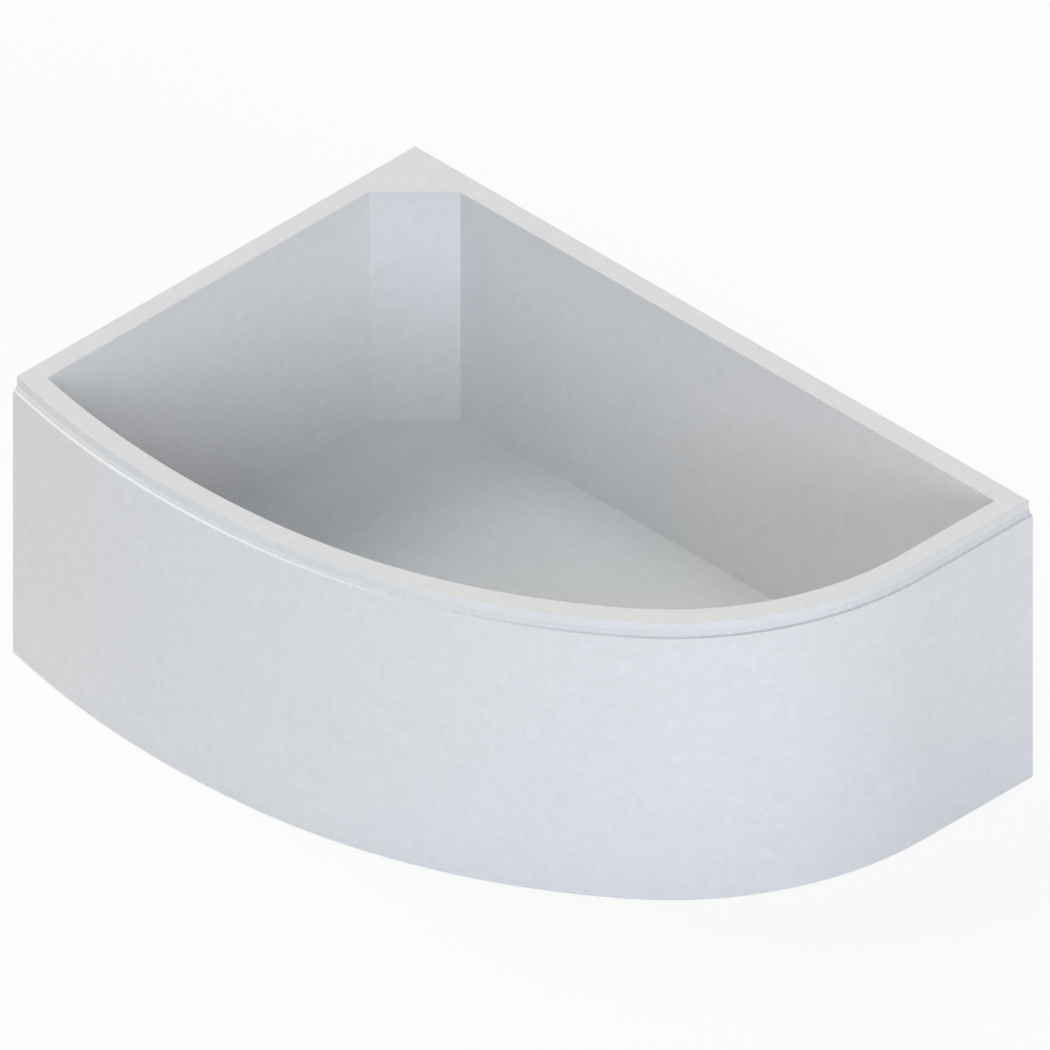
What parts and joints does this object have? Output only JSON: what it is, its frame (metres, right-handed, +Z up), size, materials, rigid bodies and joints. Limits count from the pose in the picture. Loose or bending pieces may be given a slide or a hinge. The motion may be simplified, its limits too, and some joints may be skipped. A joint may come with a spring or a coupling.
{
  "type": "corner bathtub",
  "caption": "Asymmetric corner bathtub with a curved front: acrylic shell, removable curved panel, adjustable feet, pop-up waste worked by an overflow knob.",
  "frame": {"origin": "on the floor, under the middle of the footprint", "axes": "+Z up; +X along the long wall, away from the room corner; +Y towards the long wall"},
  "size_m": [1.55, 1.0602, 0.598],
  "materials": {
    "shell_acrylic": "white sanitary acrylic, satin gloss",
    "panel_acrylic": "white sanitary acrylic, satin gloss",
    "chipboard": "raw chipboard sealed in resin",
    "timber": "planed softwood",
    "plywood": "bent plywood",
    "foot_plastic": "black moulded plastic",
    "zinc_fasteners": "zinc plated",
    "galvanised_steel": "galvanised sheet",
    "spring_steel": "spring steel",
    "chrome_trim": "polished chrome plate",
    "brass_pins": "turned brass",
    "rubber_seal": "soft rubber",
    "white_polypropylene": "moulded white polypropylene"
  },
  "bodies": {
    "tub": {"back_rim_batten": "timber", "bar_screws": "zinc_fasteners", "base_board": "chipboard", "bottom_bracket_left": "galvanised_steel", "bottom_bracket_middle": "galvanised_steel", "bottom_bracket_right": "galvanised_steel", "bracket_screws": "zinc_fasteners", "corner_rim_block": "timber", "cross_bar_left": "galvanised_steel", "cross_bar_middle": "galvanised_steel", "cross_bar_right": "galvanised_steel", "foot_nuts": "zinc_fasteners", "front_rim_batten": "timber", "left_rim_batten": "timber", "lever_pin": "spring_steel", "overflow_body": "white_polypropylene", "overflow_pipe": "white_polypropylene", "overflow_ring": "chrome_trim", "overflow_seal": "rubber_seal", "top_bracket_1": "galvanised_steel", "top_bracket_2": "galvanised_steel", "top_bracket_3": "galvanised_steel", "top_bracket_4": "galvanised_steel", "top_bracket_5": "galvanised_steel", "top_bracket_6": "galvanised_steel", "tub_shell": "shell_acrylic", "wall_bracket_back_left": "galvanised_steel", "wall_bracket_back_right": "galvanised_steel", "wall_bracket_side": "galvanised_steel", "waste_body": "white_polypropylene", "waste_flange": "chrome_trim", "waste_seal": "rubber_seal", "waste_spigot": "white_polypropylene"},
    "panel": {"front_panel": "panel_acrylic", "panel_top_trim": "panel_acrylic", "panel_top_rail": "plywood", "panel_bottom_rail": "plywood", "panel_clips_top": "spring_steel", "panel_clips_bottom": "spring_steel"},
    "knob": {"overflow_knob": "chrome_trim", "knob_spindle": "brass_pins"},
    "plug": {"plug_cap": "chrome_trim", "plug_seal": "rubber_seal", "plug_stem": "brass_pins"},
    "lever": {"lift_lever": "brass_pins"},
    "foot_1": {"foot_pad_1": "foot_plastic", "foot_stud_1": "zinc_fasteners"},
    "foot_2": {"foot_pad_2": "foot_plastic", "foot_stud_2": "zinc_fasteners"},
    "foot_3": {"foot_pad_3": "foot_plastic", "foot_stud_3": "zinc_fasteners"},
    "foot_4": {"foot_pad_4": "foot_plastic", "foot_stud_4": "zinc_fasteners"},
    "foot_5": {"foot_pad_5": "foot_plastic", "foot_stud_5": "zinc_fasteners"},
    "foot_6": {"foot_pad_6": "foot_plastic", "foot_stud_6": "zinc_fasteners"}
  },
  "joints": [
    {"name": "panel_pull", "type": "slide", "parent": "tub", "child": "panel", "axis": [0.7071, -0.7071, 0], "range_m": [0, 0.3]},
    {"name": "foot_1_screw", "type": "slide", "parent": "tub", "child": "foot_1", "axis": [0, 0, 1], "range_m": [-0.01, 0.012]},
    {"name": "foot_2_screw", "type": "slide", "parent": "tub", "child": "foot_2", "axis": [0, 0, 1], "range_m": [-0.01, 0.012]},
    {"name": "foot_3_screw", "type": "slide", "parent": "tub", "child": "foot_3", "axis": [0, 0, 1], "range_m": [-0.01, 0.012]},
    {"name": "foot_4_screw", "type": "slide", "parent": "tub", "child": "foot_4", "axis": [0, 0, 1], "range_m": [-0.01, 0.012]},
    {"name": "foot_5_screw", "type": "slide", "parent": "tub", "child": "foot_5", "axis": [0, 0, 1], "range_m": [-0.01, 0.012]},
    {"name": "foot_6_screw", "type": "slide", "parent": "tub", "child": "foot_6", "axis": [0, 0, 1], "range_m": [-0.01, 0.012]},
    {"name": "knob_turn", "type": "hinge", "parent": "tub", "child": "knob", "pos_m": [-0.3419, -0.47712, 0.503], "axis": [0, 1, 0], "range_deg": [0, 90]},
    {"name": "plug_lift", "type": "slide", "parent": "tub", "child": "plug", "axis": [0, 0, 1], "range_m": [0, 0.008]},
    {"name": "lever_swing", "type": "hinge", "parent": "tub", "child": "lever", "pos_m": [-0.3419, -0.24663, 0.0712], "axis": [-1, 0, 0], "range_deg": [0, 28.95]}
  ],
  "couplings": [
    {"joint": "knob_turn", "follows": "plug_lift", "rad_per_m": 196.34},
    {"joint": "lever_swing", "follows": "plug_lift", "rad_per_m": 63.16}
  ]
}
